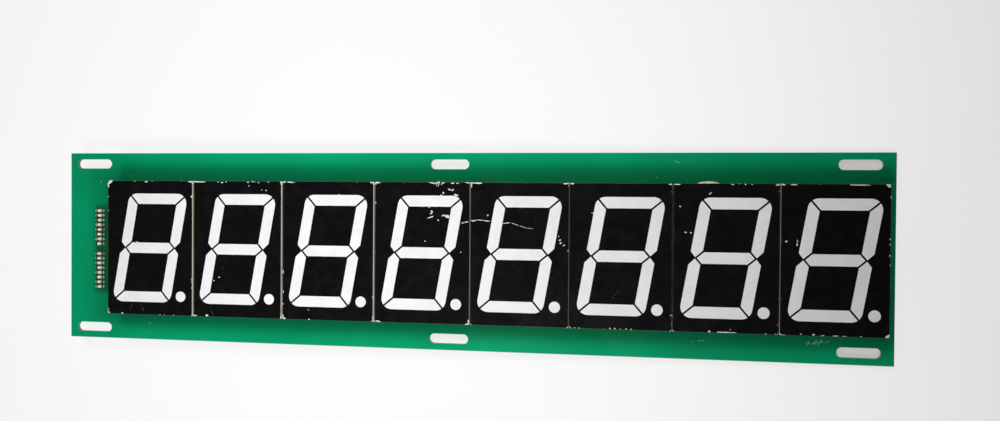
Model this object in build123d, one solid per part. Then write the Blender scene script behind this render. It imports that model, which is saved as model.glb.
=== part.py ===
from build123d import *

import math
import os

# Row of eight seven segment digits on a green circuit board, for a multiplexed numeric display.
# The board lies in the XY plane, with the digits facing +Z and the first digit at the -X end.
# The origin is the middle of the slot pattern, on the board's rear face. Lengths are in millimetres.

# Digit modules: a moulded reflector housing each, soldered in a row with a small gap between neighbours
digit_count = 8
digit_width = 47.6
digit_height = 69.2
digit_depth = 13.5
digit_gap = 0.66
housing_wall = 1.3
reflector_depth = 9.0

# Figure on the face: seven slanted bars that meet at mitres, with margins to the housing's edges
figure_side_margin = 2.5
figure_end_margin = 6.55
bar_width = 5.4
bar_width_sideways = 5.5
slant_deg = 10.0
outer_corner_radius = 5.1
mitre_gap = 0.85
waist_notch_half_height = 3.05

# Decimal point: a round window beside the foot of the figure, many sided because it repeats
point_diameter = 5.4
point_sides = 24
point_gap = 2.55
point_rise = 3.2

# LED board that closes the back of each reflector, with headroom for its lamps below the resin
led_board_thickness = 1.2
led_board_clearance = 0.2
lamp_headroom = 0.5

# Digit pins: one row above the figure and one below
pins_per_row = 5
pin_pitch = 2.54
pin_row_inset = 4.12
pin_width = 0.6
pin_tail = 2.0

# Circuit board: a plain rectangle, with the margins that it leaves around the row of digits
board_thickness = 1.6
header_end_margin = 30.4
plain_end_margin = 5.18
long_edge_margin = 14.9

# Mounting slots along the board's two long edges
slot_length = 19.8
slot_width = 4.9
slot_left_inset = 14.1
slot_right_inset = 15.7
slot_edge_inset = 5.7
slot_columns = 3
slot_rows = 2

# Pin headers on the rear near the -X end: the upper one for segment lines, the lower one for digit lines
header_names = ("upper_header", "lower_header")
header_ways = 8
header_pitch = 2.54
header_gap = 2.73
header_inset = 17.0
header_drop = 1.7
header_pin_width = 0.64
header_pin_tip = 1.4
header_pin_reach = 11.0
header_base_depth = 5.8
header_base_height = 3.2
header_lock_thickness = 1.0
header_lock_height = 8.4
header_lock_inset = 2.5

# How far a cutting body runs past the face that it cuts
overrun = 1.0

# Sizes and heights that follow from those above
slant = math.tan(math.radians(slant_deg))
figure_height = digit_height - 2 * figure_end_margin
figure_width = digit_width - 2 * figure_side_margin - figure_height * slant
digit_pitch = digit_width + digit_gap
digit_row_length = digit_count * digit_pitch - digit_gap
board_length = header_end_margin + digit_row_length + plain_end_margin
board_height = digit_height + 2 * long_edge_margin
header_length = header_ways * header_pitch
board_middle_x = (slot_right_inset - slot_left_inset) / 2
header_x = board_middle_x + header_inset - board_length / 2
face_z = board_thickness + digit_depth
reflector_floor = face_z - reflector_depth
led_board_back = reflector_floor - led_board_thickness


def digit_centre_x(index):
    """X of the middle of a digit's face, counted from the -X end."""
    row_middle = board_middle_x + (header_end_margin - plain_end_margin) / 2
    return row_middle + (index - (digit_count - 1) / 2) * digit_pitch


def slanted(x, y):
    """A point of the upright figure, leaned over by the slant about the middle of the face."""
    return (x + y * slant, y)


def slanted_block(left, right, bottom, top):
    """A face with level top and bottom edges and slanted sides."""
    corners = [slanted(left, bottom), slanted(right, bottom), slanted(right, top), slanted(left, top)]
    return make_face(Polyline(*corners, close=True))


def mitre_strip(start, end):
    """A strip as wide as the mitre gap, from one point to another and on past the second."""
    line = Vector(*end) - Vector(*start)
    angle = math.degrees(math.atan2(line.Y, line.X))
    strip = Rectangle(line.length + mitre_gap, mitre_gap, align=(Align.MIN, Align.CENTER))
    return Pos(*start) * Rot(0, 0, angle) * strip


def figure_sketch():
    """The seven bars of the figure as separate faces, about the middle of the digit's face."""
    half_width = figure_width / 2
    half_height = figure_height / 2
    inner_half_width = half_width - bar_width_sideways
    inner_top = half_height - bar_width
    waist = bar_width / 2

    outline = slanted_block(-half_width, half_width, -half_height, half_height)
    outline = fillet(outline.vertices(), outer_corner_radius)
    outline -= slanted_block(-inner_half_width, inner_half_width, waist, inner_top)
    outline -= slanted_block(-inner_half_width, inner_half_width, -inner_top, -waist)

    for side in (-1, 1):
        waist_tip = slanted(side * (half_width - bar_width_sideways / 2), 0)
        notch_top = slanted(side * half_width, waist_notch_half_height)
        notch_bottom = slanted(side * half_width, -waist_notch_half_height)
        outline -= make_face(Polyline(waist_tip, notch_top, notch_bottom, close=True))
        for end in (-1, 1):
            outer_corner = slanted(side * half_width, end * half_height)
            outline -= mitre_strip(outer_corner, slanted(side * inner_half_width, end * inner_top))
            outline -= mitre_strip(waist_tip, slanted(side * inner_half_width, end * waist))
    return outline


def point_place():
    """Middle of the decimal point, beside the foot of the slanted figure."""
    y = point_rise - figure_height / 2
    foot_x = slanted(figure_width / 2, y)[0]
    return (foot_x + point_gap + point_diameter / 2, y)


def window_sketch():
    """All the lit windows of one digit: the seven bars and the decimal point."""
    return figure_sketch() + Pos(*point_place()) * RegularPolygon(point_diameter / 2, point_sides)


def light_wells(windows, bottom, top):
    """The windows as upright prisms between two heights, one for each bar and one for the point."""
    return Pos(0, 0, bottom) * extrude(windows, amount=top - bottom)


def pin_places():
    """Places of one digit's pins about the middle of the digit."""
    places = []
    for row in (-1, 1):
        y = row * (digit_height / 2 - pin_row_inset)
        for column in range(pins_per_row):
            places.append(((column - (pins_per_row - 1) / 2) * pin_pitch, y))
    return places


def header_centre_y(header):
    """Y of the middle of a header: the upper one is 0 and the lower one is 1."""
    step = header_length + header_gap
    return step * ((len(header_names) - 1) / 2 - header) - header_drop


def header_pin_places(header):
    """Places of one header's pins on the board."""
    middle = (header_ways - 1) / 2
    return [(header_x, header_centre_y(header) + (middle - way) * header_pitch) for way in range(header_ways)]


def upright_bar(x, y, width, bottom, top):
    """A square bar that stands along Z."""
    return Pos(x, y, (bottom + top) / 2) * Box(width, width, top - bottom)


def circuit_board():
    """The bare board: six slots, and an opening filled by each pin that is soldered in it."""
    outline = Pos(board_middle_x, 0) * Rectangle(board_length, board_height)
    slot_spacing_x = (board_length - slot_left_inset - slot_right_inset) / (slot_columns - 1)
    slot_spacing_y = (board_height - 2 * slot_edge_inset) / (slot_rows - 1)
    slots = GridLocations(slot_spacing_x, slot_spacing_y, slot_columns, slot_rows)
    outline -= slots * SlotOverall(slot_length, slot_width)
    for index in range(digit_count):
        places = [(digit_centre_x(index) + x, y) for x, y in pin_places()]
        outline -= Locations(*places) * Rectangle(pin_width, pin_width)
    for header in range(len(header_names)):
        places = header_pin_places(header)
        outline -= Locations(*places) * Rectangle(header_pin_width, header_pin_width)
    return extrude(outline, amount=board_thickness)


def housing(windows):
    """Reflector housing: a block open at the back, with a light well through it for each window."""
    block = Box(digit_width, digit_height, digit_depth)
    body = Pos(0, 0, board_thickness + digit_depth / 2) * block
    pocket_depth = digit_depth - reflector_depth
    pocket = Box(digit_width - 2 * housing_wall, digit_height - 2 * housing_wall, pocket_depth)
    body -= Pos(0, 0, board_thickness + pocket_depth / 2) * pocket
    return body - light_wells(windows, reflector_floor - overrun, face_z + overrun)


def segments(windows):
    """Diffusing resin cast into each light well, flush with the face and clear of the lamps."""
    return light_wells(windows, reflector_floor + lamp_headroom, face_z)


def led_board():
    """Small board that closes the back of the reflector."""
    width = digit_width - 2 * (housing_wall + led_board_clearance)
    height = digit_height - 2 * (housing_wall + led_board_clearance)
    board = Box(width, height, led_board_thickness)
    return Pos(0, 0, led_board_back + led_board_thickness / 2) * board


def digit_pins():
    """The pins of one digit, from the LED board down through the circuit board."""
    return [upright_bar(x, y, pin_width, -pin_tail, led_board_back) for x, y in pin_places()]


def header_pins(header):
    """The square posts of a header, which are soldered on the board's front face."""
    top = board_thickness + header_pin_tip
    places = header_pin_places(header)
    return [upright_bar(x, y, header_pin_width, -header_pin_reach, top) for x, y in places]


def header_base(header):
    """Moulded wafer of a header on the board's rear face, with its friction lock along one side."""
    base = Pos(0, 0, -header_base_height / 2) * Box(header_base_depth, header_length, header_base_height)
    lock_width = header_length - 2 * header_lock_inset
    lock = Box(header_lock_thickness, lock_width, header_lock_height)
    lock_x = (header_lock_thickness - header_base_depth) / 2
    body = base + Pos(lock_x, 0, -header_lock_height / 2) * lock
    body = Pos(header_x, header_centre_y(header)) * body
    for pin in header_pins(header):
        body -= pin
    return body


def write(node, pieces):
    """Writes one node: a single solid, or a group of separate solids."""
    solids = [solid for piece in pieces for solid in piece.solids()]
    shape = solids[0] if len(solids) == 1 else Compound(children=solids)
    export_step(shape, f"parts/{node}.step")


os.makedirs("parts", exist_ok=True)
write("circuit_board", [circuit_board()])

windows = window_sketch()
digit_nodes = {
    "housing": [housing(windows)],
    "segments": [segments(windows)],
    "led_board": [led_board()],
    "pins": digit_pins(),
}
for index in range(digit_count):
    place = Pos(digit_centre_x(index), 0)
    for piece_name, pieces in digit_nodes.items():
        write(f"digit_{index + 1}_{piece_name}", [place * piece for piece in pieces])

for header, header_name in enumerate(header_names):
    write(f"{header_name}_base", [header_base(header)])
    write(f"{header_name}_pins", header_pins(header))
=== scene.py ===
import math
import random

import bpy
from mathutils import Matrix, Vector


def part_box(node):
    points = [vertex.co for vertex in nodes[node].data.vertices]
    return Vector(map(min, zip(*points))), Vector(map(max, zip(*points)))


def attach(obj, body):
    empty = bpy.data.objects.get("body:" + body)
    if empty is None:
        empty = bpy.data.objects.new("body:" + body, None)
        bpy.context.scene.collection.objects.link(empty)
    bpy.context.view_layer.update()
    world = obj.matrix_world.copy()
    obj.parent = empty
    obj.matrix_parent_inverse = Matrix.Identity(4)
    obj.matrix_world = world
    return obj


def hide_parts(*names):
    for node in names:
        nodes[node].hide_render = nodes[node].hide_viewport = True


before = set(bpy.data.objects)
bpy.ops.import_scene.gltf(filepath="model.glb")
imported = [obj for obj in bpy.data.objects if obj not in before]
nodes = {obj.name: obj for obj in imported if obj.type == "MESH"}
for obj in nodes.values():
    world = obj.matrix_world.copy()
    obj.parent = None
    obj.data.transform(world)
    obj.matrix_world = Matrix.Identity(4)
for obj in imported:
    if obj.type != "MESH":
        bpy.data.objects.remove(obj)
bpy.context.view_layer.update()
bpy.ops.object.select_all(action="DESELECT")


# Circuit board
# A sheet of glass and epoxy laminate, routed to a rectangle with six slots and coated green on both faces.
# Straw coloured layers show at its cut edges. Painted shade darkens its front beside the digits, and flux
# stain, which also paints shade, darkens it around the joints.
mm = 0.001
board_low, board_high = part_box("circuit_board")
board_front = board_high.z
board_rear = board_low.z
green_deep = (0.001, 0.285, 0.116)
green_pale = (0.001, 0.350, 0.150)
# The next green paints shade beside the digits, and the one after it paints flux stain with shade around
# the joints.
green_painted_shade = (0.001, 0.145, 0.057)
green_stain_and_shade = (0.004, 0.060, 0.020)
laminate_dark = (0.34, 0.27, 0.13)
laminate_pale = (0.62, 0.55, 0.35)
patch_contrast = (0.3, 0.7)
edge_lean = (0.4, 0.6)
coating_pattern = (14.0, 5.0)
weave_pattern = (900.0, 1.0)
weave_stretch = (1.0, 5.0, 1.0)
weave_limits = (0.62, 0.8)
weave_strength = 0.12
weave_depth = 0.002 * mm
layer_pattern = (1500.0, 2.0)
layer_stretch = (0.15, 0.15, 3.0)
dulling_pattern = (60.0, 6.0)
dulling_limits = (0.35, 0.75)
coating_roughness = (0.17, 0.26)
edge_extra_roughness = 0.35
coating_specular = 0.13
foot_shade_reach = 15.0 * mm
foot_shade_end_share = 0.5
stain_and_shade_reach = 4.6 * mm
stain_and_shade_run = 5.0 * mm
stain_and_shade_strength = 0.85


def new_finish(name):
    """A node material, with its tree, its shader and the coordinates that its patterns follow."""
    finish = bpy.data.materials.new(name)
    finish.use_nodes = True
    tree = finish.node_tree
    place = tree.nodes.new("ShaderNodeTexCoord").outputs["Object"]
    return finish, tree, tree.nodes["Principled BSDF"].inputs, place


def plug(tree, socket, value):
    """Links a socket to another one, or sets it to a plain value."""
    if isinstance(value, bpy.types.NodeSocket):
        tree.links.new(value, socket)
    else:
        socket.default_value = value


def maths(tree, operation, first, second=0.0):
    """The result of one sum on two numbers or sockets."""
    node = tree.nodes.new("ShaderNodeMath")
    node.operation = operation
    plug(tree, node.inputs[0], first)
    plug(tree, node.inputs[1], second)
    return node.outputs[0]


def largest(tree, first, *others):
    """The largest of several numbers or sockets."""
    for other in others:
        first = maths(tree, "MAXIMUM", first, other)
    return first


def diagonal(tree, first, second):
    """The straight way across two lengths that lie square to each other."""
    squares = maths(tree, "ADD", maths(tree, "POWER", first, 2.0), maths(tree, "POWER", second, 2.0))
    return maths(tree, "SQRT", squares)


def cloud(tree, place, pattern):
    """A soft random pattern from 0 to 1, given by its cells to the metre and its detail."""
    per_metre, detail = pattern
    node = tree.nodes.new("ShaderNodeTexNoise")
    plug(tree, node.inputs["Vector"], place)
    node.inputs["Scale"].default_value = per_metre
    node.inputs["Detail"].default_value = detail
    return node.outputs["Fac"]


def stretched(tree, place, shares):
    """Coordinates scaled by a share along each axis, which draws a pattern out."""
    node = tree.nodes.new("ShaderNodeMapping")
    plug(tree, node.inputs["Vector"], place)
    node.inputs["Scale"].default_value = shares
    return node.outputs["Vector"]


def ramp(tree, value, low, high, to_low=0.0, to_high=1.0):
    """A value spread smoothly from one range on to another, and held at its ends."""
    node = tree.nodes.new("ShaderNodeMapRange")
    node.interpolation_type = "SMOOTHSTEP"
    plug(tree, node.inputs["Value"], value)
    for name, limit in (("From Min", low), ("From Max", high), ("To Min", to_low), ("To Max", to_high)):
        plug(tree, node.inputs[name], limit)
    return node.outputs["Result"]


def patches(tree, place, pattern):
    """A cloud pattern with its contrast raised, so that it falls into patches."""
    return ramp(tree, cloud(tree, place, pattern), *patch_contrast)


def tint(tree, share, first, second):
    """A colour between two others, each a socket or a plain red, green and blue."""
    node = tree.nodes.new("ShaderNodeMix")
    node.data_type = "RGBA"
    colours = [socket for socket in node.inputs if socket.type == "RGBA"]
    plug(tree, node.inputs["Factor"], share)
    for socket, colour in zip(colours, (first, second)):
        plug(tree, socket, colour if isinstance(colour, bpy.types.NodeSocket) else (*colour, 1.0))
    return [socket for socket in node.outputs if socket.type == "RGBA"][0]


def emboss(tree, shader, height, depth):
    """Bumps the surface by a height pattern, at its real depth."""
    node = tree.nodes.new("ShaderNodeBump")
    node.inputs["Distance"].default_value = depth
    plug(tree, node.inputs["Height"], height)
    plug(tree, shader["Normal"], node.outputs["Normal"])


def axes(tree, vector):
    """The X, Y and Z of a vector."""
    node = tree.nodes.new("ShaderNodeSeparateXYZ")
    plug(tree, node.inputs["Vector"], vector)
    return node.outputs["X"], node.outputs["Y"], node.outputs["Z"]


def facing(tree):
    """The X, Y and Z of the way that the surface faces."""
    return axes(tree, tree.nodes.new("ShaderNodeNewGeometry").outputs["Normal"])


def beyond(tree, place, low, high, end_share=1.0):
    """How far a place lies outside a rectangle on the board, with a share of the way past its ends."""
    x, y, _ = axes(tree, place)
    past_end = largest(tree, maths(tree, "SUBTRACT", low.x, x), maths(tree, "SUBTRACT", x, high.x), 0.0)
    past_side = largest(tree, maths(tree, "SUBTRACT", low.y, y), maths(tree, "SUBTRACT", y, high.y), 0.0)
    return diagonal(tree, maths(tree, "MULTIPLY", past_end, end_share), past_side)


def shaded_and_stained(tree, place, upright, coating):
    """The coating of the front face, darkened by painted shade beside the digits, and around the joints by
    flux stain that also paints shade there.
    """
    front = ramp(tree, upright, *edge_lean)
    row_low, row_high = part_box("digit_1_housing")[0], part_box("digit_8_housing")[1]
    from_digits = beyond(tree, place, row_low, row_high, foot_shade_end_share)
    # Painted shade: the front coating darkens towards the foot of the digits.
    painted_shade = maths(tree, "MULTIPLY", front, ramp(tree, from_digits, 0.0, foot_shade_reach, 1.0, 0.0))
    coating = tint(tree, painted_shade, coating, green_painted_shade)
    # Flux stain that also paints shade: the front coating darkens around the header joints.
    joints_low, joints_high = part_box("lower_header_pins")[0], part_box("upper_header_pins")[1]
    from_joints = beyond(tree, place, joints_low, joints_high + Vector((stain_and_shade_run, 0.0, 0.0)))
    stain_and_shade = maths(tree, "MULTIPLY", front, ramp(tree, from_joints, 0.0, stain_and_shade_reach, stain_and_shade_strength, 0.0))
    return tint(tree, stain_and_shade, coating, green_stain_and_shade)


def coated_laminate(name, deep, pale, paint_shade_and_stain=None):
    """Laminate with a coloured coating on its two faces and bare layers at its cut edges."""
    finish, tree, shader, place = new_finish(name)
    coating = tint(tree, patches(tree, place, coating_pattern), deep, pale)
    weave = cloud(tree, stretched(tree, place, weave_stretch), weave_pattern)
    coating = tint(tree, ramp(tree, weave, *weave_limits, 0.0, weave_strength), coating, pale)
    layers = cloud(tree, stretched(tree, place, layer_stretch), layer_pattern)
    laminate = tint(tree, layers, laminate_dark, laminate_pale)
    upright = facing(tree)[2]
    if paint_shade_and_stain:
        coating = paint_shade_and_stain(tree, place, upright, coating)
    edge = ramp(tree, maths(tree, "ABSOLUTE", upright), *edge_lean, 1.0, 0.0)
    plug(tree, shader["Base Color"], tint(tree, edge, coating, laminate))
    dulled = ramp(tree, cloud(tree, place, dulling_pattern), *dulling_limits, *coating_roughness)
    sawn = maths(tree, "MULTIPLY", edge, edge_extra_roughness)
    plug(tree, shader["Roughness"], maths(tree, "ADD", dulled, sawn))
    shader["Specular IOR Level"].default_value = coating_specular
    emboss(tree, shader, weave, weave_depth)
    return finish


def dress(piece, finish):
    """Gives all of a piece one finish."""
    if not piece.material_slots:
        piece.data.materials.append(finish)
    for slot in piece.material_slots:
        slot.material = finish


green_laminate = coated_laminate("green_laminate", green_deep, green_pale, shaded_and_stained)
dress(nodes["circuit_board"], green_laminate)


# Copper tracks on the rear
# Etched copper under the green coating. Eight segment lines run from the upper header past every digit,
# and eight digit lines from the lower header to one digit each. Round vias take them through the board.
track_width = 0.9 * mm
track_height = 0.05 * mm
track_bottom = board_rear - track_height
via_width = 1.5 * mm
via_stand = track_height / 2
coated_copper_deep = (0.004, 0.26, 0.10)
coated_copper_pale = (0.008, 0.33, 0.135)
least_length_share = 1.001
round_end_segments = 4
weld_distance = 0.01 * mm
header_names = ("upper_header", "lower_header")
header_ways = 8
digit_count = 8
digit_boxes = [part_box(f"digit_{number}_housing") for number in range(1, digit_count + 1)]
digit_middles = [(low + high) / 2 for low, high in digit_boxes]
digit_pin_columns = 5
pin_half_width = 0.3 * mm


def even_steps(low, high, count):
    """Places spread evenly from one end to the other."""
    return [low + (high - low) * index / (count - 1) for index in range(count)]


def header_pin_line(name):
    """X of a header's pins, and the Y of each, from the top of the board down."""
    low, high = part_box(f"{name}_pins")
    half_pin = (high.x - low.x) / 2
    return (low.x + high.x) / 2, even_steps(high.y - half_pin, low.y + half_pin, header_ways)


def add_capsule(length, width, bottom, top, middle_x, middle_y, turn=0.0):
    """A flat bar with round ends, or a round plate where it is as long as it is wide."""
    length = max(length, width * least_length_share)
    bpy.ops.object.select_all(action="DESELECT")
    bpy.ops.mesh.primitive_plane_add(size=1.0, location=(middle_x, middle_y, bottom), rotation=(0, 0, turn))
    capsule = bpy.context.object
    capsule.scale = (length, width, 1.0)
    bpy.ops.object.transform_apply(location=False, rotation=False, scale=True)
    bpy.ops.object.mode_set(mode="EDIT")
    bpy.ops.mesh.bevel(offset=width / 2, segments=round_end_segments, affect="VERTICES")
    bpy.ops.mesh.remove_doubles(threshold=weld_distance)
    bpy.ops.mesh.extrude_region_move(TRANSFORM_OT_translate={"value": (0, 0, top - bottom)})
    bpy.ops.mesh.select_all(action="SELECT")
    bpy.ops.mesh.normals_make_consistent(inside=False)
    bpy.ops.object.mode_set(mode="OBJECT")
    bpy.ops.object.transform_apply(location=True, rotation=True, scale=True)
    return capsule


def add_track(start_x, end_x, y):
    """A straight track under the board, round at its ends."""
    length = end_x - start_x + track_width
    return add_capsule(length, track_width, track_bottom, board_rear, (start_x + end_x) / 2, y)


def join(pieces, name):
    """Several pieces made one object, at the origin."""
    bpy.ops.object.select_all(action="DESELECT")
    for piece in pieces:
        piece.select_set(True)
    bpy.context.view_layer.objects.active = pieces[0]
    if len(pieces) > 1:
        bpy.ops.object.join()
    joined = bpy.context.view_layer.objects.active
    bpy.ops.object.select_all(action="DESELECT")
    joined.select_set(True)
    bpy.ops.object.transform_apply(location=True, rotation=True, scale=True)
    joined.name = name
    joined.data.name = name
    return joined


def finish_piece(piece, finish):
    """Gives a piece its finish and hangs it from the root body's empty, keeping its place on the board."""
    dress(piece, finish)
    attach(piece, "root")


def copy_of(piece, shift):
    """A copy with its own mesh, moved over by a shift."""
    mesh = piece.data.copy()
    mesh.transform(Matrix.Translation(shift))
    copied = bpy.data.objects.new(piece.name, mesh)
    bpy.context.scene.collection.objects.link(copied)
    return copied


pin_low, pin_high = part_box("digit_1_pins")
pin_columns = even_steps(pin_low.x + pin_half_width, pin_high.x - pin_half_width, digit_pin_columns)
pin_offsets = [x - digit_middles[0].x for x in pin_columns]
segment_offsets = [x for x in pin_offsets if abs(x) > pin_half_width]
segment_x, segment_lines = header_pin_line("upper_header")
digit_x, digit_lines = header_pin_line("lower_header")
tracks = []
via_places = []
for line, y in enumerate(segment_lines):
    via_offset = segment_offsets[line % len(segment_offsets)]
    tracks.append(add_track(segment_x, digit_middles[-1].x + via_offset, y))
    via_places += [(middle.x + via_offset, y) for middle in digit_middles]
for middle, y in zip(digit_middles, digit_lines):
    tracks.append(add_track(digit_x, middle.x, y))
    via_places.append((middle.x, y))
via = add_capsule(via_width, via_width, track_bottom, board_rear, 0.0, 0.0)
tracks += [copy_of(via, (x, y, -via_stand)) for x, y in via_places]
bpy.data.objects.remove(via)
rear_tracks = join(tracks, "rear_tracks")
green_over_copper = coated_laminate("green_over_copper", coated_copper_deep, coated_copper_pale)
finish_piece(rear_tracks, green_over_copper)


# LED boards
# A small laminate board closes the back of each reflector and carries its lamps, out of sight.
# It is coated white, so that the lamps' light goes forward.
white_deep = (0.60, 0.60, 0.57)
white_pale = (0.72, 0.72, 0.69)
white_laminate = coated_laminate("white_laminate", white_deep, white_pale)
for number in range(1, digit_count + 1):
    dress(nodes[f"digit_{number}_led_board"], white_laminate)


# Reflector housings
# One block of cream white plastic to each digit, moulded with a light well for each bar and an open back.
# Its face is printed black and worn through at edges and corners. Painted shade darkens its sides towards
# their foot and deep in the seams.
print_depth = 0.05 * mm
edge_round = 0.28 * mm
corner_round = 0.45 * mm
round_segments = 3
led_board_clearance = 0.2 * mm
overrun = 1.0 * mm
cad_weld_distance = 0.002 * mm
flat_angle = math.radians(0.5)
smooth_angle = math.radians(40)
straight_share = 0.9
side_slack = 0.1 * mm
level_slack = 0.01 * mm
housing_low, housing_high = digit_boxes[0]
housing_middle = digit_middles[0]
outer_half_width = (housing_high.x - housing_low.x) / 2 - side_slack
window_low, window_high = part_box("digit_1_segments")
led_low, led_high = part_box("digit_1_led_board")
print_level = housing_high.z - print_depth
reflector_floor = led_high.z
housing_wall = led_low.x - housing_low.x - led_board_clearance
ink_deep = (0.0022, 0.0022, 0.0026)
ink_rubbed = (0.0048, 0.0046, 0.0052)
ink_dust = (0.20, 0.20, 0.20)
plastic_yellowed = (0.86, 0.81, 0.67)
plastic_clean = (0.94, 0.91, 0.81)
# The next two colours are painted shade: at the housing's foot, and deep in its seams.
plastic_painted_shade = (0.30, 0.25, 0.16)
seam_shade_colour = (0.030, 0.024, 0.015)
edge_wear = (0.3 * mm, 0.7 * mm)
corner_wear = (0.5 * mm, 4.0 * mm)
edge_weakness = 0.06
corner_weakness = 0.16
chip_pattern = (420.0, 4.0)
chip_limits = (0.735, 0.755)
corner_pattern = (40.0, 1.0)
corner_limits = (0.35, 0.65)
corner_loss = (0.5 * mm, 1.3 * mm)
print_fade = 0.03 * mm
left_roll = 0.30 * mm
right_roll = (0.01 * mm, 0.25 * mm)
right_roll_span = (-40.0 * mm, 45.0 * mm)
right_turn = (0.1, 0.3)
side_turn = (0.5, 0.8)
rub_pattern = (240.0, 8.0)
rub_limits = (0.3, 0.8)
speck_pattern = (1400.0, 2.0)
speck_limits = (0.72, 0.82)
speck_strength = 0.06
yellowing_pattern = (45.0, 4.0)
foot_shade_height = 4.0 * mm
foot_shade_strength = 0.35
seam_shade_depths = (1.4 * mm, 4.0 * mm)
seam_shade_strength = 0.93
row_end_fade = (0.5 * mm, 1.0 * mm)
gloss_pattern = (120.0, 6.0)
gloss_limits = (0.3, 0.8)
print_roughness = (0.19, 0.26)
plastic_extra_roughness = 0.3
print_specular = 0.20
print_grain = (1800.0, 2.0)
print_grain_depth = 0.001 * mm


def pick(kind, wanted):
    """In edit mode, selects only those faces or edges of the active piece that a test asks for."""
    bpy.ops.mesh.select_mode(type=kind)
    bpy.ops.mesh.select_all(action="DESELECT")
    bpy.ops.object.mode_set(mode="OBJECT")
    mesh = bpy.context.object.data
    for item in mesh.polygons if kind == "FACE" else mesh.edges:
        item.select = wanted(mesh, item)
    bpy.ops.object.mode_set(mode="EDIT")


def faces_up(mesh, face):
    """Whether a face looks straight forward, out of the lit side."""
    return face.normal.z > straight_share


def faces_down(mesh, face):
    """Whether a face looks straight back, towards the board."""
    return face.normal.z < -straight_share


def ends(mesh, edge):
    """The two end points of an edge."""
    return [mesh.vertices[index].co for index in edge.vertices]


def is_outer_upright(mesh, edge):
    """Whether an edge is one of the four upright corners of the housing."""
    first, second = ends(mesh, edge)
    return abs(first.z - second.z) > overrun and abs(first.x - housing_middle.x) > outer_half_width


def rim_at(level):
    """A test for the edges that lie at a height."""
    return lambda mesh, edge: all(end.z > level - level_slack for end in ends(mesh, edge))


def add_block(name, low, high):
    """A block between two corners, with its place in its mesh."""
    bpy.ops.object.select_all(action="DESELECT")
    bpy.ops.mesh.primitive_cube_add(size=1.0, location=(low + high) / 2)
    block = bpy.context.object
    block.scale = high - low
    bpy.ops.object.transform_apply(location=True, rotation=True, scale=True)
    block.name = name
    block.data.name = name
    return block


def shade_flat_faces(piece):
    """Smooth shading over rounded edges only: large flat faces keep their own direction."""
    bpy.ops.object.shade_smooth_by_angle(angle=smooth_angle)
    weighted = piece.modifiers.new("weighted", "WEIGHTED_NORMAL")
    weighted.keep_sharp = True
    bpy.ops.object.modifier_apply(modifier="weighted")


def merged_copy(node_name, name):
    """A copy of a CAD node's mesh, with its loose triangles merged into whole faces."""
    mesh = nodes[node_name].data.copy()
    copied = bpy.data.objects.new(name, mesh)
    bpy.context.scene.collection.objects.link(copied)
    bpy.ops.object.select_all(action="DESELECT")
    copied.select_set(True)
    bpy.context.view_layer.objects.active = copied
    if mesh.has_custom_normals:
        bpy.ops.mesh.customdata_custom_splitnormals_clear()
    bpy.ops.object.mode_set(mode="EDIT")
    bpy.ops.mesh.select_all(action="SELECT")
    bpy.ops.mesh.remove_doubles(threshold=cad_weld_distance)
    bpy.ops.mesh.dissolve_limited(angle_limit=flat_angle)
    bpy.ops.object.mode_set(mode="OBJECT")
    return copied


housing = add_block("housing", housing_low, Vector((housing_high.x, housing_high.y, print_level)))
bpy.ops.object.mode_set(mode="EDIT")
pick("FACE", faces_down)
bpy.ops.mesh.inset(thickness=housing_wall)
bpy.ops.mesh.extrude_region_move(TRANSFORM_OT_translate={"value": (0, 0, reflector_floor - housing_low.z)})
pick("EDGE", is_outer_upright)
bpy.ops.mesh.bevel(offset=corner_round, segments=round_segments)
pick("EDGE", rim_at(print_level))
bpy.ops.mesh.bevel(offset=edge_round, segments=round_segments)
bpy.ops.object.mode_set(mode="OBJECT")
cutter = merged_copy("digit_1_segments", "window_cutter")
bpy.ops.object.mode_set(mode="EDIT")
pick("FACE", faces_down)
bpy.ops.transform.translate(value=(0, 0, reflector_floor - overrun - window_low.z))
pick("FACE", faces_up)
bpy.ops.transform.translate(value=(0, 0, overrun))
bpy.ops.object.mode_set(mode="OBJECT")
bpy.ops.object.select_all(action="DESELECT")
housing.select_set(True)
bpy.context.view_layer.objects.active = housing
windows = housing.modifiers.new("windows", "BOOLEAN")
windows.operation = "DIFFERENCE"
windows.solver = "EXACT"
windows.object = cutter
bpy.ops.object.modifier_apply(modifier="windows")
bpy.data.objects.remove(cutter)
shade_flat_faces(housing)


def from_edges(tree, x, y):
    """How far a place on any digit's face lies from its nearer side, and from its nearer end."""
    pitch = digit_middles[1].x - digit_middles[0].x
    width = housing_high.x - housing_low.x
    along = maths(tree, "SUBTRACT", x, housing_low.x)
    digits_before = maths(tree, "FLOOR", maths(tree, "DIVIDE", along, pitch))
    across = maths(tree, "SUBTRACT", along, maths(tree, "MULTIPLY", pitch, digits_before))
    to_side = maths(tree, "MINIMUM", across, maths(tree, "SUBTRACT", width, across))
    to_end = maths(tree, "SUBTRACT", housing_high.y, maths(tree, "ABSOLUTE", y))
    return to_side, to_end


def worn_through(tree, place, to_side, to_end):
    """Where the print is gone: in chips along the edges, and at corners that are rubbed round."""
    near_edge = ramp(tree, maths(tree, "MINIMUM", to_side, to_end), *edge_wear, 1.0, 0.0)
    near_corner = ramp(tree, maths(tree, "ADD", to_side, to_end), *corner_wear, 1.0, 0.0)
    weakness = maths(tree, "ADD", maths(tree, "MULTIPLY", near_corner, corner_weakness), edge_weakness)
    chips = maths(tree, "ADD", cloud(tree, place, chip_pattern), weakness)
    chipped = maths(tree, "MULTIPLY", ramp(tree, chips, *chip_limits), near_edge)
    radius = ramp(tree, cloud(tree, place, corner_pattern), *corner_limits, *corner_loss)
    into_side = largest(tree, maths(tree, "SUBTRACT", radius, to_side), 0.0)
    into_end = largest(tree, maths(tree, "SUBTRACT", radius, to_end), 0.0)
    outside_round = maths(tree, "SUBTRACT", diagonal(tree, into_side, into_end), radius)
    return largest(tree, chipped, ramp(tree, outside_round, -print_fade, print_fade))


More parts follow.
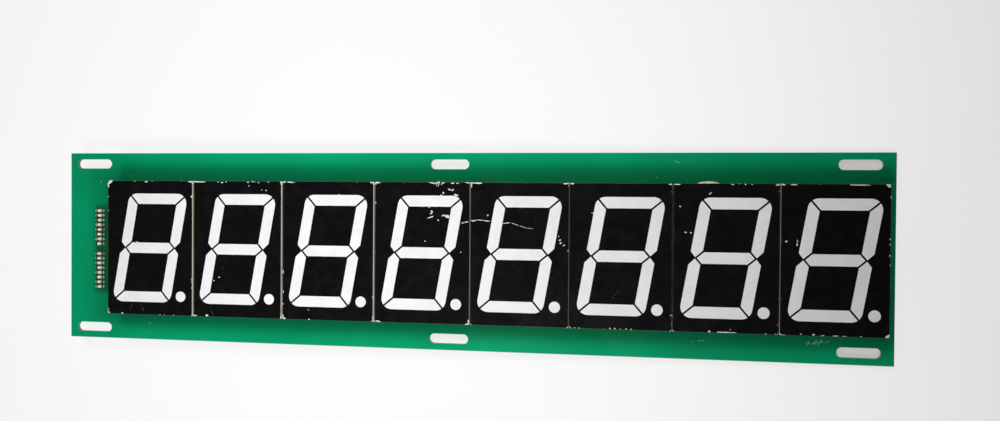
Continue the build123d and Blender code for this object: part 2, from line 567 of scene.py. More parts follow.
def seam_shade(tree, x, below, face_x):
    """Where painted shade darkens the sides that face a neighbour, deep in the seams, which is everywhere
    but at the row's two ends.
    """
    from_left = maths(tree, "SUBTRACT", x, digit_boxes[0][0].x)
    from_right = maths(tree, "SUBTRACT", digit_boxes[-1][1].x, x)
    inside_row = ramp(tree, maths(tree, "MINIMUM", from_left, from_right), *row_end_fade)
    on_side = ramp(tree, maths(tree, "ABSOLUTE", face_x), *side_turn)
    in_seam = maths(tree, "MULTIPLY", inside_row, on_side)
    return maths(tree, "MULTIPLY", in_seam, ramp(tree, below, *seam_shade_depths, 0.0, seam_shade_strength))


def printed_plastic():
    """Cream plastic, printed black on the face and a little way over its rounded edges."""
    finish, tree, shader, place = new_finish("printed_plastic")
    x, y, z = axes(tree, place)
    face_x = facing(tree)[0]
    below = maths(tree, "SUBTRACT", print_level, z)
    bare = worn_through(tree, place, *from_edges(tree, x, y))
    roll = ramp(tree, face_x, *right_turn, left_roll, ramp(tree, x, *right_roll_span, *right_roll))
    printed = maths(tree, "LESS_THAN", below, roll)
    inked = maths(tree, "MULTIPLY", printed, maths(tree, "SUBTRACT", 1.0, bare))
    rubbing = ramp(tree, cloud(tree, place, rub_pattern), *rub_limits)
    ink = tint(tree, rubbing, ink_deep, ink_rubbed)
    specks = ramp(tree, cloud(tree, place, speck_pattern), *speck_limits, 0.0, speck_strength)
    ink = tint(tree, specks, ink, ink_dust)
    plastic = tint(tree, patches(tree, place, yellowing_pattern), plastic_yellowed, plastic_clean)
    # Painted shade: the plastic darkens towards its foot on the board.
    painted_shade = ramp(tree, z, board_front, board_front + foot_shade_height, foot_shade_strength, 0.0)
    plastic = tint(tree, painted_shade, plastic, plastic_painted_shade)
    # Painted shade: the sides darken deep in the seams between digits.
    plastic = tint(tree, seam_shade(tree, x, below, face_x), plastic, seam_shade_colour)
    plug(tree, shader["Base Color"], tint(tree, inked, plastic, ink))
    gloss = ramp(tree, cloud(tree, place, gloss_pattern), *gloss_limits, *print_roughness)
    dull = maths(tree, "MULTIPLY", plastic_extra_roughness, maths(tree, "SUBTRACT", 1.0, inked))
    plug(tree, shader["Roughness"], maths(tree, "ADD", gloss, dull))
    shader["Specular IOR Level"].default_value = print_specular
    emboss(tree, shader, cloud(tree, place, print_grain), print_grain_depth)
    return finish


printed_housing = printed_plastic()
for number, middle in enumerate(digit_middles, start=1):
    piece = copy_of(housing, middle - housing_middle)
    piece.name = f"digit_{number}_printed_housing"
    finish_piece(piece, printed_housing)
    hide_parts(f"digit_{number}_housing")
bpy.data.objects.remove(housing)


# Segment windows
# White diffusing resin, cast into the light wells level with the face: seven bars and a decimal point.
# The black lines at the mitres are the housing's webs between the bars.
resin_rim = 0.06 * mm
resin_rim_segments = 2
resin_sink = 0.02 * mm
resin_level = housing_high.z - resin_sink
resin_grey = (0.835, 0.835, 0.845)
resin_white = (0.88, 0.88, 0.885)
resin_speck = (0.66, 0.66, 0.67)
resin_flow = (140.0, 5.0)
resin_grain = (1700.0, 2.0)
resin_grain_depth = 0.003 * mm
resin_speck_limits = (0.55, 0.8)
resin_speck_strength = 0.14
resin_roughness = (0.34, 0.5)
resin_specular = 0.4
resin = merged_copy("digit_1_segments", "resin")
bpy.ops.object.mode_set(mode="EDIT")
pick("FACE", faces_up)
bpy.ops.transform.translate(value=(0, 0, resin_level - window_high.z))
pick("EDGE", rim_at(resin_level))
bpy.ops.mesh.bevel(offset=resin_rim, segments=resin_rim_segments)
bpy.ops.object.mode_set(mode="OBJECT")
shade_flat_faces(resin)


def diffusing_resin():
    """Milky white resin with a faint flow pattern and a satin surface."""
    finish, tree, shader, place = new_finish("diffusing_resin")
    flow = cloud(tree, place, resin_flow)
    grain = cloud(tree, place, resin_grain)
    milky = tint(tree, ramp(tree, flow, *patch_contrast), resin_grey, resin_white)
    specks = ramp(tree, grain, *resin_speck_limits, 0.0, resin_speck_strength)
    milky = tint(tree, specks, milky, resin_speck)
    plug(tree, shader["Base Color"], milky)
    plug(tree, shader["Roughness"], ramp(tree, flow, *patch_contrast, *resin_roughness))
    shader["Specular IOR Level"].default_value = resin_specular
    emboss(tree, shader, grain, resin_grain_depth)
    return finish


milky_resin = diffusing_resin()
for number, middle in enumerate(digit_middles, start=1):
    piece = copy_of(resin, middle - housing_middle)
    piece.name = f"digit_{number}_resin"
    finish_piece(piece, milky_resin)
    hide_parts(f"digit_{number}_segments")
bpy.data.objects.remove(resin)


# Digit pins and their solder
# Ten tinned pins to each digit stand through the board. On the rear each has a round pad of copper
# and a cone of solder, drawn up around the pin by hand soldering.
pad_width = 1.9 * mm
pad_height = 0.06 * mm
cone_rings = ((0.86 * mm, 0.0), (0.66 * mm, 0.16 * mm), (0.50 * mm, 0.42 * mm), (0.41 * mm, 0.80 * mm),
              (0.35 * mm, 1.15 * mm))
cone_sides = 14
turned_smooth_angle = math.radians(50)
forward = 1
backward = -1
tin_dark = (0.52, 0.51, 0.48)
tin_bright = (0.72, 0.71, 0.67)
tin_roughness = 0.3
solder_dark = (0.74, 0.74, 0.72)
solder_bright = (0.90, 0.90, 0.88)
solder_roughness = 0.25
solder_metallic = 0.5
metal_pattern = (500.0, 4.0)
metal_gloss_limits = (0.3, 0.75)
metal_roughness_spread = 0.2
metal_grain = (1600.0, 2.0)
metal_grain_depth = 0.006 * mm


def dull_metal(name, dark, bright, roughness, metallic=1.0):
    """Soft plated metal, a little uneven in tone and gloss, and less metallic where it is frosted. Near
    white and barely metallic, as on the header humps, it carries a painted highlight.
    """
    finish, tree, shader, place = new_finish(name)
    tone = cloud(tree, place, metal_pattern)
    plug(tree, shader["Base Color"], tint(tree, ramp(tree, tone, *patch_contrast), dark, bright))
    dullest = roughness + metal_roughness_spread
    plug(tree, shader["Roughness"], ramp(tree, tone, *metal_gloss_limits, roughness, dullest))
    shader["Metallic"].default_value = metallic
    emboss(tree, shader, cloud(tree, place, metal_grain), metal_grain_depth)
    return finish


def add_turned(rings, sides, height, way):
    """A turned form: rings of a radius and a rise, drawn up from a closed base, forward or backward."""
    base = Vector((0, 0, height))
    bpy.ops.object.select_all(action="DESELECT")
    bpy.ops.mesh.primitive_circle_add(vertices=sides, radius=rings[0][0], location=base, fill_type="NGON")
    turned = bpy.context.object
    bpy.ops.object.transform_apply(location=True, rotation=True, scale=True)
    bpy.ops.object.mode_set(mode="EDIT")
    bpy.ops.mesh.select_all(action="SELECT")
    for (radius, rise), (next_radius, next_rise) in zip(rings, rings[1:]):
        step = way * (next_rise - rise)
        bpy.ops.mesh.extrude_region_move(TRANSFORM_OT_translate={"value": (0, 0, step)})
        share = next_radius / radius
        bpy.ops.transform.resize(value=(share, share, 1.0), center_override=base)
    bpy.ops.mesh.select_all(action="SELECT")
    bpy.ops.mesh.normals_make_consistent(inside=False)
    bpy.ops.object.mode_set(mode="OBJECT")
    bpy.ops.object.shade_smooth_by_angle(angle=turned_smooth_angle)
    return turned


tinned_pins = dull_metal("tinned_pins", tin_dark, tin_bright, tin_roughness)
solder = dull_metal("solder", solder_dark, solder_bright, solder_roughness, solder_metallic)
for number in range(1, digit_count + 1):
    dress(nodes[f"digit_{number}_pins"], tinned_pins)
pin_rows = (pin_low.y + pin_half_width, pin_high.y - pin_half_width)
pin_places = [
    (middle.x + offset, y) for middle in digit_middles for offset in pin_offsets for y in pin_rows]
pad = add_capsule(pad_width, pad_width, board_rear - pad_height, board_rear, 0.0, 0.0)
digit_pads = join([copy_of(pad, (x, y, 0.0)) for x, y in pin_places], "digit_pads")
bpy.data.objects.remove(pad)
finish_piece(digit_pads, tinned_pins)
cone = add_turned(cone_rings, cone_sides, board_rear - pad_height, backward)
digit_solder = join([copy_of(cone, (x, y, 0.0)) for x, y in pin_places], "digit_solder")
bpy.data.objects.remove(cone)
finish_piece(digit_solder, solder)


# Pin headers
# Two wafers of ivory nylon on the rear face, each moulded around eight square tinned pins.
# A friction lock along one side holds the plug that comes to it.
header_edge = 0.18 * mm
header_edge_segments = 2
pin_hole_edge = 0.9 * mm
nylon_colours = ((0.66, 0.61, 0.48), (0.78, 0.74, 0.62))
nylon_pattern = (160.0, 4.0)
nylon_roughness = (0.42, 0.58)
nylon_grain = (1400.0, 2.0)
nylon_grain_depth = 0.006 * mm


def is_long_edge(mesh, edge):
    """Whether an edge is longer than those around the small holes for the pins."""
    first, second = ends(mesh, edge)
    return (first - second).length > pin_hole_edge


def mottled(name, pattern, colours, roughness, contrast=patch_contrast, grain_depth=0.0):
    """A plain finish that wanders between two colours and two degrees of roughness, smooth or grained."""
    finish, tree, shader, place = new_finish(name)
    tone = ramp(tree, cloud(tree, place, pattern), *contrast)
    plug(tree, shader["Base Color"], tint(tree, tone, *colours))
    plug(tree, shader["Roughness"], ramp(tree, tone, 0.0, 1.0, *roughness))
    if grain_depth:
        emboss(tree, shader, cloud(tree, place, nylon_grain), grain_depth)
    return finish


ivory_nylon = mottled(
    "ivory_nylon", nylon_pattern, nylon_colours, nylon_roughness, grain_depth=nylon_grain_depth)
for name in header_names:
    wafer = merged_copy(f"{name}_base", f"{name}_wafer")
    bpy.ops.object.mode_set(mode="EDIT")
    pick("EDGE", is_long_edge)
    bpy.ops.mesh.bevel(offset=header_edge, segments=header_edge_segments)
    bpy.ops.object.mode_set(mode="OBJECT")
    shade_flat_faces(wafer)
    finish_piece(wafer, ivory_nylon)
    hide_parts(f"{name}_base")
    dress(nodes[f"{name}_pins"], tinned_pins)


# Header joints on the front
# Each header pin comes up through a long oval pad, under a hump of solder that covers its tip, coloured
# near white as a painted highlight.
# Brown flux has run out around the humps. The pads' outer ends are stained by it.
oval_length = 5.2 * mm
oval_width = 1.35 * mm
hump_rings = ((1.22 * mm, 0.0), (1.18 * mm, 0.25 * mm), (1.05 * mm, 0.65 * mm), (0.80 * mm, 1.15 * mm),
              (0.48 * mm, 1.46 * mm))
hump_sides = 18
hump_flat_share = 0.70
hump_length_shares = (0.9, 1.06)
hump_width_shares = (0.95, 1.05)
hump_shifts = (-0.15, 0.2)
flux_length = 4.2 * mm
flux_width = 2.15 * mm
flux_height = 0.03 * mm
flux_length_shares = (0.92, 1.08)
flux_width_shares = (0.95, 1.15)
flux_shifts = (0.0, 0.3)
stain_half_width = 1.0 * mm
pad_straw = (0.72, 0.60, 0.42)
pad_pale = (0.48, 0.62, 0.56)
pad_stain = (0.30, 0.25, 0.16)
pad_pattern = (700.0, 3.0)
pad_stain_share = 0.45
pad_roughness = (0.25, 0.45)
pad_metallic = 0.3
# These two colours paint the highlight on the solder humps.
hump_painted_highlight_dark = (0.92, 0.92, 0.88)
hump_painted_highlight_bright = (0.99, 0.99, 0.96)
hump_roughness = 0.2
hump_metallic = 0.04
flux_colours = ((0.010, 0.010, 0.003), (0.055, 0.034, 0.010))
flux_pattern = (700.0, 4.0)
flux_roughness = (0.18, 0.34)
joint_seed = 5
wander = random.Random(joint_seed)
joint_places = [(x, y) for name in header_names for x, lines in [header_pin_line(name)] for y in lines]
pad_top = board_front + pad_height


def stained_tin():
    """Tinned pads, stained straw by flux at their outer ends and pale at the ends beside the digits."""
    finish, tree, shader, place = new_finish("stained_tin")
    x = axes(tree, place)[0]
    inward = ramp(tree, x, segment_x - stain_half_width, segment_x + stain_half_width)
    plated = tint(tree, inward, pad_straw, pad_pale)
    tone = ramp(tree, cloud(tree, place, pad_pattern), *patch_contrast, 0.0, pad_stain_share)
    plug(tree, shader["Base Color"], tint(tree, tone, plated, pad_stain))
    plug(tree, shader["Roughness"], ramp(tree, tone, 0.0, pad_stain_share, *pad_roughness))
    shader["Metallic"].default_value = pad_metallic
    return finish


oval = add_capsule(oval_length, oval_width, board_front, pad_top, 0.0, 0.0)
header_pads = join([copy_of(oval, (x, y, 0.0)) for x, y in joint_places], "header_pads")
bpy.data.objects.remove(oval)
finish_piece(header_pads, stained_tin())
hump = add_turned(hump_rings, hump_sides, pad_top, forward)
humps = []
for x, y in joint_places:
    piece = copy_of(hump, (0.0, 0.0, 0.0))
    length_share = wander.uniform(*hump_length_shares)
    width_share = hump_flat_share * wander.uniform(*hump_width_shares)
    piece.data.transform(Matrix.Diagonal((length_share, width_share, 1.0, 1.0)))
    piece.data.transform(Matrix.Translation((x + wander.uniform(*hump_shifts) * mm, y, 0.0)))
    humps.append(piece)
header_solder = join(humps, "header_solder")
bpy.data.objects.remove(hump)
# Painted highlight: the humps are near white and barely metallic, so they read bright as if lit.
highlight_painted_solder = dull_metal("highlight_painted_solder", hump_painted_highlight_dark, hump_painted_highlight_bright, hump_roughness, hump_metallic)
finish_piece(header_solder, highlight_painted_solder)
smear = add_capsule(flux_length, flux_width, board_front, pad_top + flux_height, 0.0, 0.0)
smears = []
for x, y in joint_places:
    piece = copy_of(smear, (0.0, 0.0, 0.0))
    length_share = wander.uniform(*flux_length_shares)
    width_share = wander.uniform(*flux_width_shares)
    piece.data.transform(Matrix.Diagonal((length_share, width_share, 1.0, 1.0)))
    piece.data.transform(Matrix.Translation((x - wander.uniform(*flux_shifts) * mm, y, 0.0)))
    smears.append(piece)
header_flux = join(smears, "header_flux")
bpy.data.objects.remove(smear)
burnt_flux = mottled("burnt_flux", flux_pattern, flux_colours, flux_roughness)
finish_piece(header_flux, burnt_flux)


# Bare patches on the faces
# Knocks and scratches have taken flakes off the black print, and the white plastic shows in them.
# They gather at corners and edges, with one long scratch across the fourth and fifth digits.
flake_height = 0.02 * mm
flake_points = 9
flake_unevenness = 0.16
seed_step = 10
bare_colours = ((0.66, 0.65, 0.62), (0.86, 0.86, 0.84))
bare_pattern = (900.0, 4.0)
bare_roughness = (0.5, 0.75)
# Each flake has a place on the face, from the digit's middle, a length and a width, all in millimetres,
# and a turn in degrees.
digit_flakes = {
    1: ((-22.6, 33.8, 3.0, 1.3, 32), (-23.3, 31.8, 1.3, 0.5, 80), (-23.4, 26.4, 0.7, 0.4, 90),
        (-2.1, 34.2, 1.7, 0.6, 0), (22.4, 34.2, 2.4, 0.6, 0), (23.2, 26.5, 1.2, 0.6, 90),
        (23.4, -15.6, 1.0, 0.5, 90), (23.4, -20.1, 1.0, 0.5, 90), (-23.3, -32.1, 0.8, 0.5, 90),
        (-23.1, -33.9, 1.2, 0.7, -30), (-15.5, -34.2, 1.1, 0.5, 0), (-7.1, 2.9, 0.9, 0.7, 0),
        (-10.4, -30.7, 4.4, 0.025, 70), (-4.3, -31.0, 4.7, 0.02, -61)),
    2: ((-20.8, 34.2, 5.8, 0.6, 0), (-22.9, -34.2, 1.5, 0.6, 0), (-16.4, -34.0, 1.6, 0.9, 0),
        (-10.4, 34.2, 1.0, 0.5, 0), (-8.3, 34.0, 1.3, 0.6, 0), (-6.2, 34.2, 0.7, 0.4, 0),
        (5.7, 34.1, 1.0, 0.5, 0), (11.4, 34.0, 0.7, 0.4, 0), (16.8, 34.2, 0.8, 0.4, 0),
        (6.3, 32.3, 0.7, 0.5, 20), (13.2, 30.2, 0.6, 0.4, 0), (15.5, 30.0, 0.8, 0.5, 0),
        (-9.8, -14.3, 0.9, 0.7, 0), (-12.6, -16.1, 0.6, 0.5, 40), (-7.8, -9.7, 0.12, 0.08, 40),
        (-5.0, -7.1, 0.10, 0.08, 10), (-2.7, -7.6, 0.10, 0.07, 0), (-8.4, -18.8, 0.14, 0.09, 70),
        (-10.7, -10.8, 0.12, 0.08, 0), (-13.6, -32.2, 4.6, 0.015, -63)),
    3: ((-19.6, 34.2, 4.2, 0.5, 0), (22.6, 34.2, 1.8, 0.6, 0), (-10.1, -29.6, 0.7, 0.4, 0),
        (5.8, 28.2, 0.7, 0.5, 0), (-22.8, -34.2, 1.7, 0.6, 0)),
    4: ((-22.4, 34.2, 2.4, 0.6, 0), (-22.0, -34.2, 2.6, 0.6, -8), (8.0, 33.9, 2.5, 1.4, 50),
        (7.6, 33.5, 2.2, 1.2, -60), (5.4, 34.2, 3.4, 0.5, -5), (9.8, 33.7, 1.1, 0.4, 75),
        (15.3, 34.1, 1.6, 0.6, 0), (17.7, 34.1, 1.0, 0.5, 0), (13.8, 31.0, 2.2, 0.65, -27),
        (15.3, 30.8, 1.5, 0.6, 32), (10.7, 29.4, 1.1, 0.8, -25), (17.1, 28.4, 2.0, 1.1, -25),
        (9.7, 28.4, 0.8, 0.4, 0), (4.9, 20.4, 1.2, 0.6, -25), (4.8, 19.5, 1.8, 0.7, 42),
        (4.4, 17.5, 3.4, 0.55, 17), (8.2, 16.1, 1.2, 0.5, -60), (12.6, 17.9, 2.3, 1.4, -15),
        (10.9, 18.4, 1.9, 0.6, 15), (1.7, 5.7, 0.6, 0.5, 0), (19.6, 0.7, 0.6, 0.4, 30),
        (13.4, 13.3, 1.0, 0.5, 80), (13.1, 11.8, 0.8, 0.5, 80), (20.5, 14.9, 1.7, 0.4, 23),
        (22.2, 15.3, 2.2, 0.4, 6), (3.7, 22.3, 0.7, 0.6, 0), (9.7, 28.1, 0.9, 0.6, 0)),
    5: ((-20.7, 34.2, 5.8, 0.6, 0), (22.4, 34.2, 2.4, 0.6, 0), (18.9, 9.0, 0.5, 0.4, 0),
        (19.6, 7.2, 1.2, 0.7, 20), (20.0, 5.8, 1.1, 0.9, 0), (21.5, 4.8, 1.4, 0.5, 15),
        (-15.5, 18.7, 0.9, 0.6, 30), (-23.1, 16.0, 1.4, 0.7, -22), (-22.0, 16.1, 2.3, 0.45, 16),
        (-19.2, 16.3, 3.6, 0.42, -4), (-15.8, 16.0, 3.9, 0.4, -6), (-6.2, 15.1, 4.3, 0.34, 7),
        (-2.2, 14.6, 4.4, 0.26, -20), (1.5, 13.4, 3.6, 0.2, -17), (4.8, 12.7, 3.5, 0.14, -7),
        (13.7, 11.5, 0.6, 0.5, 0), (19.0, -8.5, 0.10, 0.09, 0), (20.5, -9.9, 0.10, 0.09, 30),
        (18.4, -11.0, 0.10, 0.08, 0), (20.9, -12.4, 0.12, 0.08, 60), (17.6, -6.9, 0.10, 0.08, 0)),
    6: ((-22.8, 34.2, 1.7, 0.6, 0), (22.9, 34.1, 1.5, 0.6, 0), (-4.7, -34.1, 0.8, 0.6, 0),
        (-2.4, -34.1, 0.7, 0.6, 0), (0.3, -34.2, 0.4, 0.3, 0), (2.9, -34.1, 0.6, 0.5, 0),
        (5.3, -34.2, 0.6, 0.5, 0), (-21.2, -34.2, 0.6, 0.4, 0), (-13.3, 20.4, 0.7, 0.5, 0),
        (-1.8, -17.4, 7.5, 0.010, 57)),
    7: ((-22.3, 34.1, 2.8, 0.6, 0), (2.8, 34.2, 1.7, 0.4, 0), (8.6, 34.2, 0.9, 0.5, 0),
        (11.5, 34.2, 0.7, 0.4, 0), (22.8, 34.1, 1.5, 0.7, 0), (-7.3, 29.9, 1.5, 0.6, 45),
        (-20.9, 23.8, 0.9, 0.6, -30), (-18.2, 11.8, 1.1, 0.6, 0), (-15.8, 11.7, 0.9, 0.7, 0),
        (2.4, -32.9, 0.7, 0.4, 0), (-7.1, -34.0, 1.1, 0.8, -20), (0.0, -34.2, 9.5, 0.4, 0)),
    8: ((-22.9, 34.2, 1.7, 0.6, 0), (-18.5, 34.2, 3.0, 0.5, 0), (10.4, 34.2, 8.8, 0.6, 0),
        (22.8, 33.8, 1.9, 1.1, -40), (23.4, 2.6, 0.9, 0.4, 90), (22.9, -33.8, 2.2, 1.1, 40),
        (-14.5, -33.9, 0.7, 0.5, 0), (-9.0, -34.0, 1.1, 0.7, 10), (-5.0, -34.3, 1.7, 0.3, 0),
        (0.5, -34.3, 3.4, 0.3, 0), (4.5, -34.3, 2.2, 0.25, 0), (11.5, -34.2, 0.8, 0.3, 0),
        (-21.3, 8.3, 0.9, 0.8, 0), (-16.5, 8.4, 1.5, 0.45, 90), (-16.6, 6.8, 1.2, 0.5, 90),
        (15.2, 2.3, 0.7, 0.5, 30)),
}


def add_flake(x, y, bottom, length, width, turn, seed):
    """A thin uneven flake that lies level, longer one way than the other."""
    bpy.ops.object.select_all(action="DESELECT")
    bpy.ops.mesh.primitive_circle_add(vertices=flake_points, radius=0.5, fill_type="NGON")
    flake = bpy.context.object
    bpy.ops.object.mode_set(mode="EDIT")
    bpy.ops.mesh.select_all(action="SELECT")
    bpy.ops.transform.vertex_random(offset=flake_unevenness, uniform=1.0, normal=0.0, seed=seed)
    bpy.ops.object.mode_set(mode="OBJECT")
    flake.data.transform(Matrix.Diagonal((length, width, 0.0, 1.0)))
    flake.data.transform(Matrix.Rotation(turn, 4, "Z"))
    flake.data.transform(Matrix.Translation((x, y, bottom)))
    bpy.ops.object.mode_set(mode="EDIT")
    bpy.ops.mesh.select_all(action="SELECT")
    bpy.ops.mesh.extrude_region_move(TRANSFORM_OT_translate={"value": (0, 0, flake_height)})
    bpy.ops.mesh.select_all(action="SELECT")
    bpy.ops.mesh.normals_make_consistent(inside=False)
    bpy.ops.object.mode_set(mode="OBJECT")
    return flake


def scatter_flakes(name, middle_x, bottom, flakes, first_seed):
    """A table of flakes made one piece, about a middle."""
    shapes = []
    for seed, (x, y, length, width, turn) in enumerate(flakes, start=first_seed):
        flake_x = middle_x + x * mm
        flake_turn = math.radians(turn)
        shapes.append(add_flake(flake_x, y * mm, bottom, length * mm, width * mm, flake_turn, seed))
    return join(shapes, name)


worn_plastic = mottled("bare_plastic", bare_pattern, bare_colours, bare_roughness)
for number, flakes in digit_flakes.items():
    middle_x = digit_middles[number - 1].x
    worn = scatter_flakes(f"digit_{number}_worn_print", middle_x, print_level, flakes, seed_step * number)
    finish_piece(worn, worn_plastic)


# Marks on the board
# Scuffs and specks in the green coating, below the last digits and along its margins, a dab of adhesive
# that has dried pale at the seventh digit's upper edge, and dust on the board in the seams between digits.
board_scuffs = (
    (171.9, -40.6, 1.6, 0.3, 40), (173.0, -40.1, 1.4, 0.3, -45), (174.6, -39.9, 1.7, 0.35, 55),
    (175.6, -39.6, 2.0, 0.35, 62), (176.4, -39.7, 1.9, 0.35, -50), (177.3, -39.4, 2.0, 0.3, 58),
    (178.6, -39.2, 1.5, 0.3, 35), (181.3, -38.8, 1.2, 0.35, 40), (180.2, -39.3, 0.8, 0.3, 20),
    (175.0, -40.5, 1.2, 0.4, 80), (176.9, -40.4, 1.3, 0.4, 85), (178.0, -38.7, 1.4, 0.4, 70),
    (172.4, -39.6, 1.0, 0.4, 60), (175.9, -38.8, 1.2, 0.4, 20), (171.3, -39.9, 0.8, 0.4, 0),
    (119.2, -41.0, 1.0, 0.3, 15), (122.1, -40.7, 1.0, 0.4, 30), (123.8, -40.5, 0.7, 0.5, 60),
    (111.0, 45.1, 3.3, 0.25, -20), (101.6, 37.6, 0.6, 0.45, 40), (-192.8, 34.4, 0.6, 0.6, 0),
    (-175.2, 37.3, 0.6, 0.5, 0), (-164.2, -41.0, 1.3, 0.5, -30))
scuff_colours = ((0.07, 0.36, 0.23), (0.34, 0.62, 0.52))
scuff_pattern = (1100.0, 4.0)
scuff_roughness = (0.5, 0.75)
scuff_contrast = (0.35, 0.7)
scuff_first_seed = 200
dab_rings = ((1.0 * mm, 0.0), (0.97 * mm, 0.25 * mm), (0.80 * mm, 0.50 * mm), (0.45 * mm, 0.65 * mm))
dab_sides = 32
dab_length_share = 5.1
dab_width_share = 1.2
dab_digit = 7
dab_shift = 7.4 * mm
dab_clearance = 0.02 * mm
dab_x = digit_middles[dab_digit - 1].x - dab_shift
dab_edge = housing_high.y + dab_clearance
adhesive_colours = ((0.72, 0.68, 0.42), (0.90, 0.88, 0.66))
adhesive_pattern = (500.0, 3.0)
adhesive_roughness = (0.3, 0.45)
dust_width = 0.5 * mm
dust_height = 0.1 * mm
dust_top = board_front + dust_height
dust_length = housing_high.y - housing_low.y - 2 * corner_round
dust_colours = ((0.22, 0.20, 0.16), (0.44, 0.41, 0.34))
dust_pattern = (600.0, 5.0)
dust_roughness = (0.8, 0.95)

board_middle = (board_low + board_high) / 2
scuffed_coating = scatter_flakes(
    "scuffed_coating", board_middle.x, board_front, board_scuffs, scuff_first_seed)
scratched_green = mottled(
    "scratched_green", scuff_pattern, scuff_colours, scuff_roughness, scuff_contrast)
finish_piece(scuffed_coating, scratched_green)

dab = add_turned(dab_rings, dab_sides, board_front, forward)
dab.data.transform(Matrix.Diagonal((dab_length_share, dab_width_share, 1.0, 1.0)))
dab.data.transform(Matrix.Translation((dab_x, dab_edge, 0.0)))
bpy.ops.object.mode_set(mode="EDIT")
bpy.ops.mesh.select_all(action="SELECT")
bpy.ops.mesh.bisect(
    plane_co=(dab_x, dab_edge, board_front), plane_no=(0, 1, 0), clear_inner=True, use_fill=True)
bpy.ops.object.mode_set(mode="OBJECT")
dried_adhesive = join([dab], "dried_adhesive")
pale_adhesive = mottled("pale_adhesive", adhesive_pattern, adhesive_colours, adhesive_roughness)
finish_piece(dried_adhesive, pale_adhesive)

dust_bands = []
for left_box, right_box in zip(digit_boxes, digit_boxes[1:]):
    seam_x = (left_box[1].x + right_box[0].x) / 2
    band = add_capsule(dust_length, dust_width, board_front, dust_top, seam_x, 0.0, math.pi / 2)
    dust_bands.append(band)
seam_dust = join(dust_bands, "seam_dust")
settled_dust = mottled("settled_dust", dust_pattern, dust_colours, dust_roughness)
finish_piece(seam_dust, settled_dust)


# Floor
# A plain pale table top. The board rests on it by its header pins at the left and digit pins at the right.
# It shows white from above, less so to the right, and least under the low end of the board.
floor_size = 30.0
floor_grey = (0.86, 0.86, 0.86)
floor_white = (0.92, 0.92, 0.92)
floor_pattern = (30.0, 5.0)
floor_roughness = 0.7
floor_specular = 0.2
glow_span = (-0.1, 0.7)
glow_shares = (0.8, 0.35)
shade_margin = 3.0 * mm
shade_span = (0.05, 0.19)
shade_share = 0.5
rest_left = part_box("upper_header_pins")[0]
rest_right_x, rest_right_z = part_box("digit_8_pins")[1].x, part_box("digit_8_pins")[0].z
floor_slope = math.atan2(rest_right_z - rest_left.z, rest_right_x - rest_left.x)
floor_height = rest_left.z - rest_left.x * math.tan(floor_slope)
bpy.ops.object.select_all(action="DESELECT")
bpy.ops.mesh.primitive_plane_add(
    size=floor_size, location=(0, 0, floor_height), rotation=(0, -floor_slope, 0))
floor = bpy.context.object
floor.name = "floor"
bpy.ops.object.transform_apply(location=True, rotation=True, scale=True)


def table_top():
    """A pale matt top, which shows white to the camera and in reflections, and still takes shade."""
    finish, tree, shader, place = new_finish("table_top")
    plug(tree, shader["Base Color"], tint(tree, cloud(tree, place, floor_pattern), floor_grey, floor_white))
    shader["Roughness"].default_value = floor_roughness
    shader["Specular IOR Level"].default_value = floor_specular
    x = axes(tree, place)[0]
    margin = Vector((shade_margin, shade_margin, 0.0))
    from_board = beyond(tree, place, board_low + margin, board_high - margin)
    under_board = ramp(tree, from_board, 0.0, shade_margin, 1.0, 0.0)
    shade = maths(tree, "MULTIPLY", under_board, ramp(tree, x, *shade_span, 0.0, shade_share))
    glow_share = ramp(tree, x, *glow_span, *glow_shares)
    glow_share = maths(tree, "MULTIPLY", glow_share, maths(tree, "SUBTRACT", 1.0, shade))
    rays = tree.nodes.new("ShaderNodeLightPath").outputs
    seen = largest(tree, rays["Is Camera Ray"], rays["Is Glossy Ray"], rays["Is Transmission Ray"])
    glow = tree.nodes.new("ShaderNodeEmission")
    blend = tree.nodes.new("ShaderNodeMixShader")
    plug(tree, blend.inputs["Fac"], maths(tree, "MULTIPLY", seen, glow_share))
    plug(tree, blend.inputs[1], tree.nodes["Principled BSDF"].outputs["BSDF"])
    plug(tree, blend.inputs[2], glow.outputs["Emission"])
    plug(tree, tree.nodes["Material Output"].inputs["Surface"], blend.outputs["Shader"])
    return finish


dress(floor, table_top())


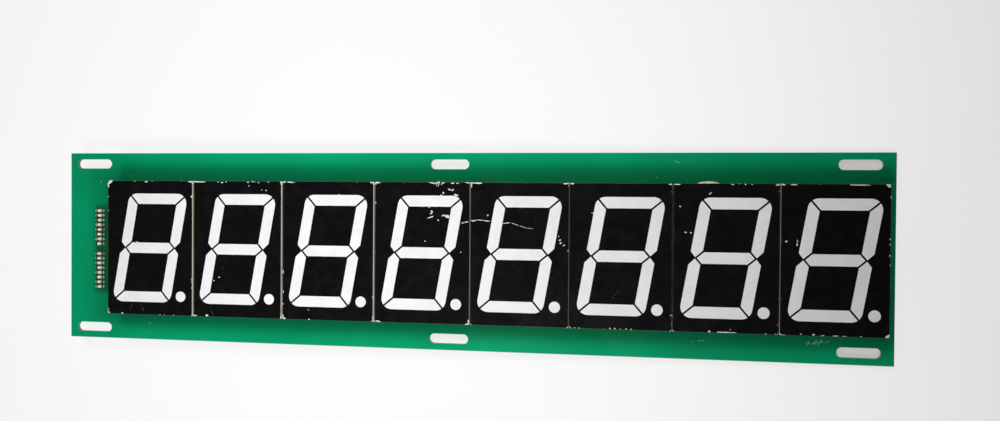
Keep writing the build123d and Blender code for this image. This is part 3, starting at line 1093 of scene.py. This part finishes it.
# Lamps and room
# Two soft lamps hang over the board, one on each side of it, aimed left of the middle.
# The room around them is plain and pale, brighter at the left, and darker overhead.
lamp_power = 22.5
lamp_softness = 0.20
lamp_spread = math.radians(39.0)
lamp_x = -0.075
lamp_height = 0.82
lamp_aim = Vector((-0.055, 0.0, 0.0))
room_pale = (0.48, 0.48, 0.48)
room_dark = (0.09, 0.09, 0.09)
room_dark_heights = (0.3, 0.8)
room_side_span = (-0.5, 0.6)
room_side_strengths = (1.3, 0.5)
for name, lamp_y in (("front_lamp", -0.50), ("back_lamp", 0.47)):
    lamp_data = bpy.data.lights.new(name, "SPOT")
    lamp_data.energy = lamp_power
    lamp_data.shadow_soft_size = lamp_softness
    lamp_data.spot_size = lamp_spread
    lamp_data.spot_blend = 1.0
    lamp = bpy.data.objects.new(name, lamp_data)
    bpy.context.scene.collection.objects.link(lamp)
    lamp.location = (lamp_x, lamp_y, lamp_height)
    lamp.rotation_euler = (lamp_aim - lamp.location).to_track_quat("-Z", "Y").to_euler()

room = bpy.data.worlds.new("room")
bpy.context.scene.world = room
room.use_nodes = True
room_tree = room.node_tree
direction = room_tree.nodes.new("ShaderNodeTexCoord").outputs["Generated"]
sideways, _, height = axes(room_tree, direction)
background = room_tree.nodes["Background"].inputs
overhead = ramp(room_tree, height, *room_dark_heights)
plug(room_tree, background["Color"], tint(room_tree, overhead, room_pale, room_dark))
plug(room_tree, background["Strength"], ramp(room_tree, sideways, *room_side_span, *room_side_strengths))


# Camera
# It looks down from above the right half of the board, tilted ten degrees towards the middle.
# Its place, turn and lens were fitted to the board's corners, slots and digits.
camera_data = bpy.data.cameras.new("camera")
camera_data.sensor_width = 36.0
camera_data.lens = 33.12
camera_data.clip_start = 0.01
camera = bpy.data.objects.new("camera", camera_data)
bpy.context.scene.collection.objects.link(camera)
camera.location = (105.01 * mm, 27.56 * mm, 451.36 * mm)
camera.rotation_euler = [math.radians(angle) for angle in (-0.760, 10.009, 0.431)]
bpy.context.scene.camera = camera
bpy.context.scene.view_settings.view_transform = "Standard"
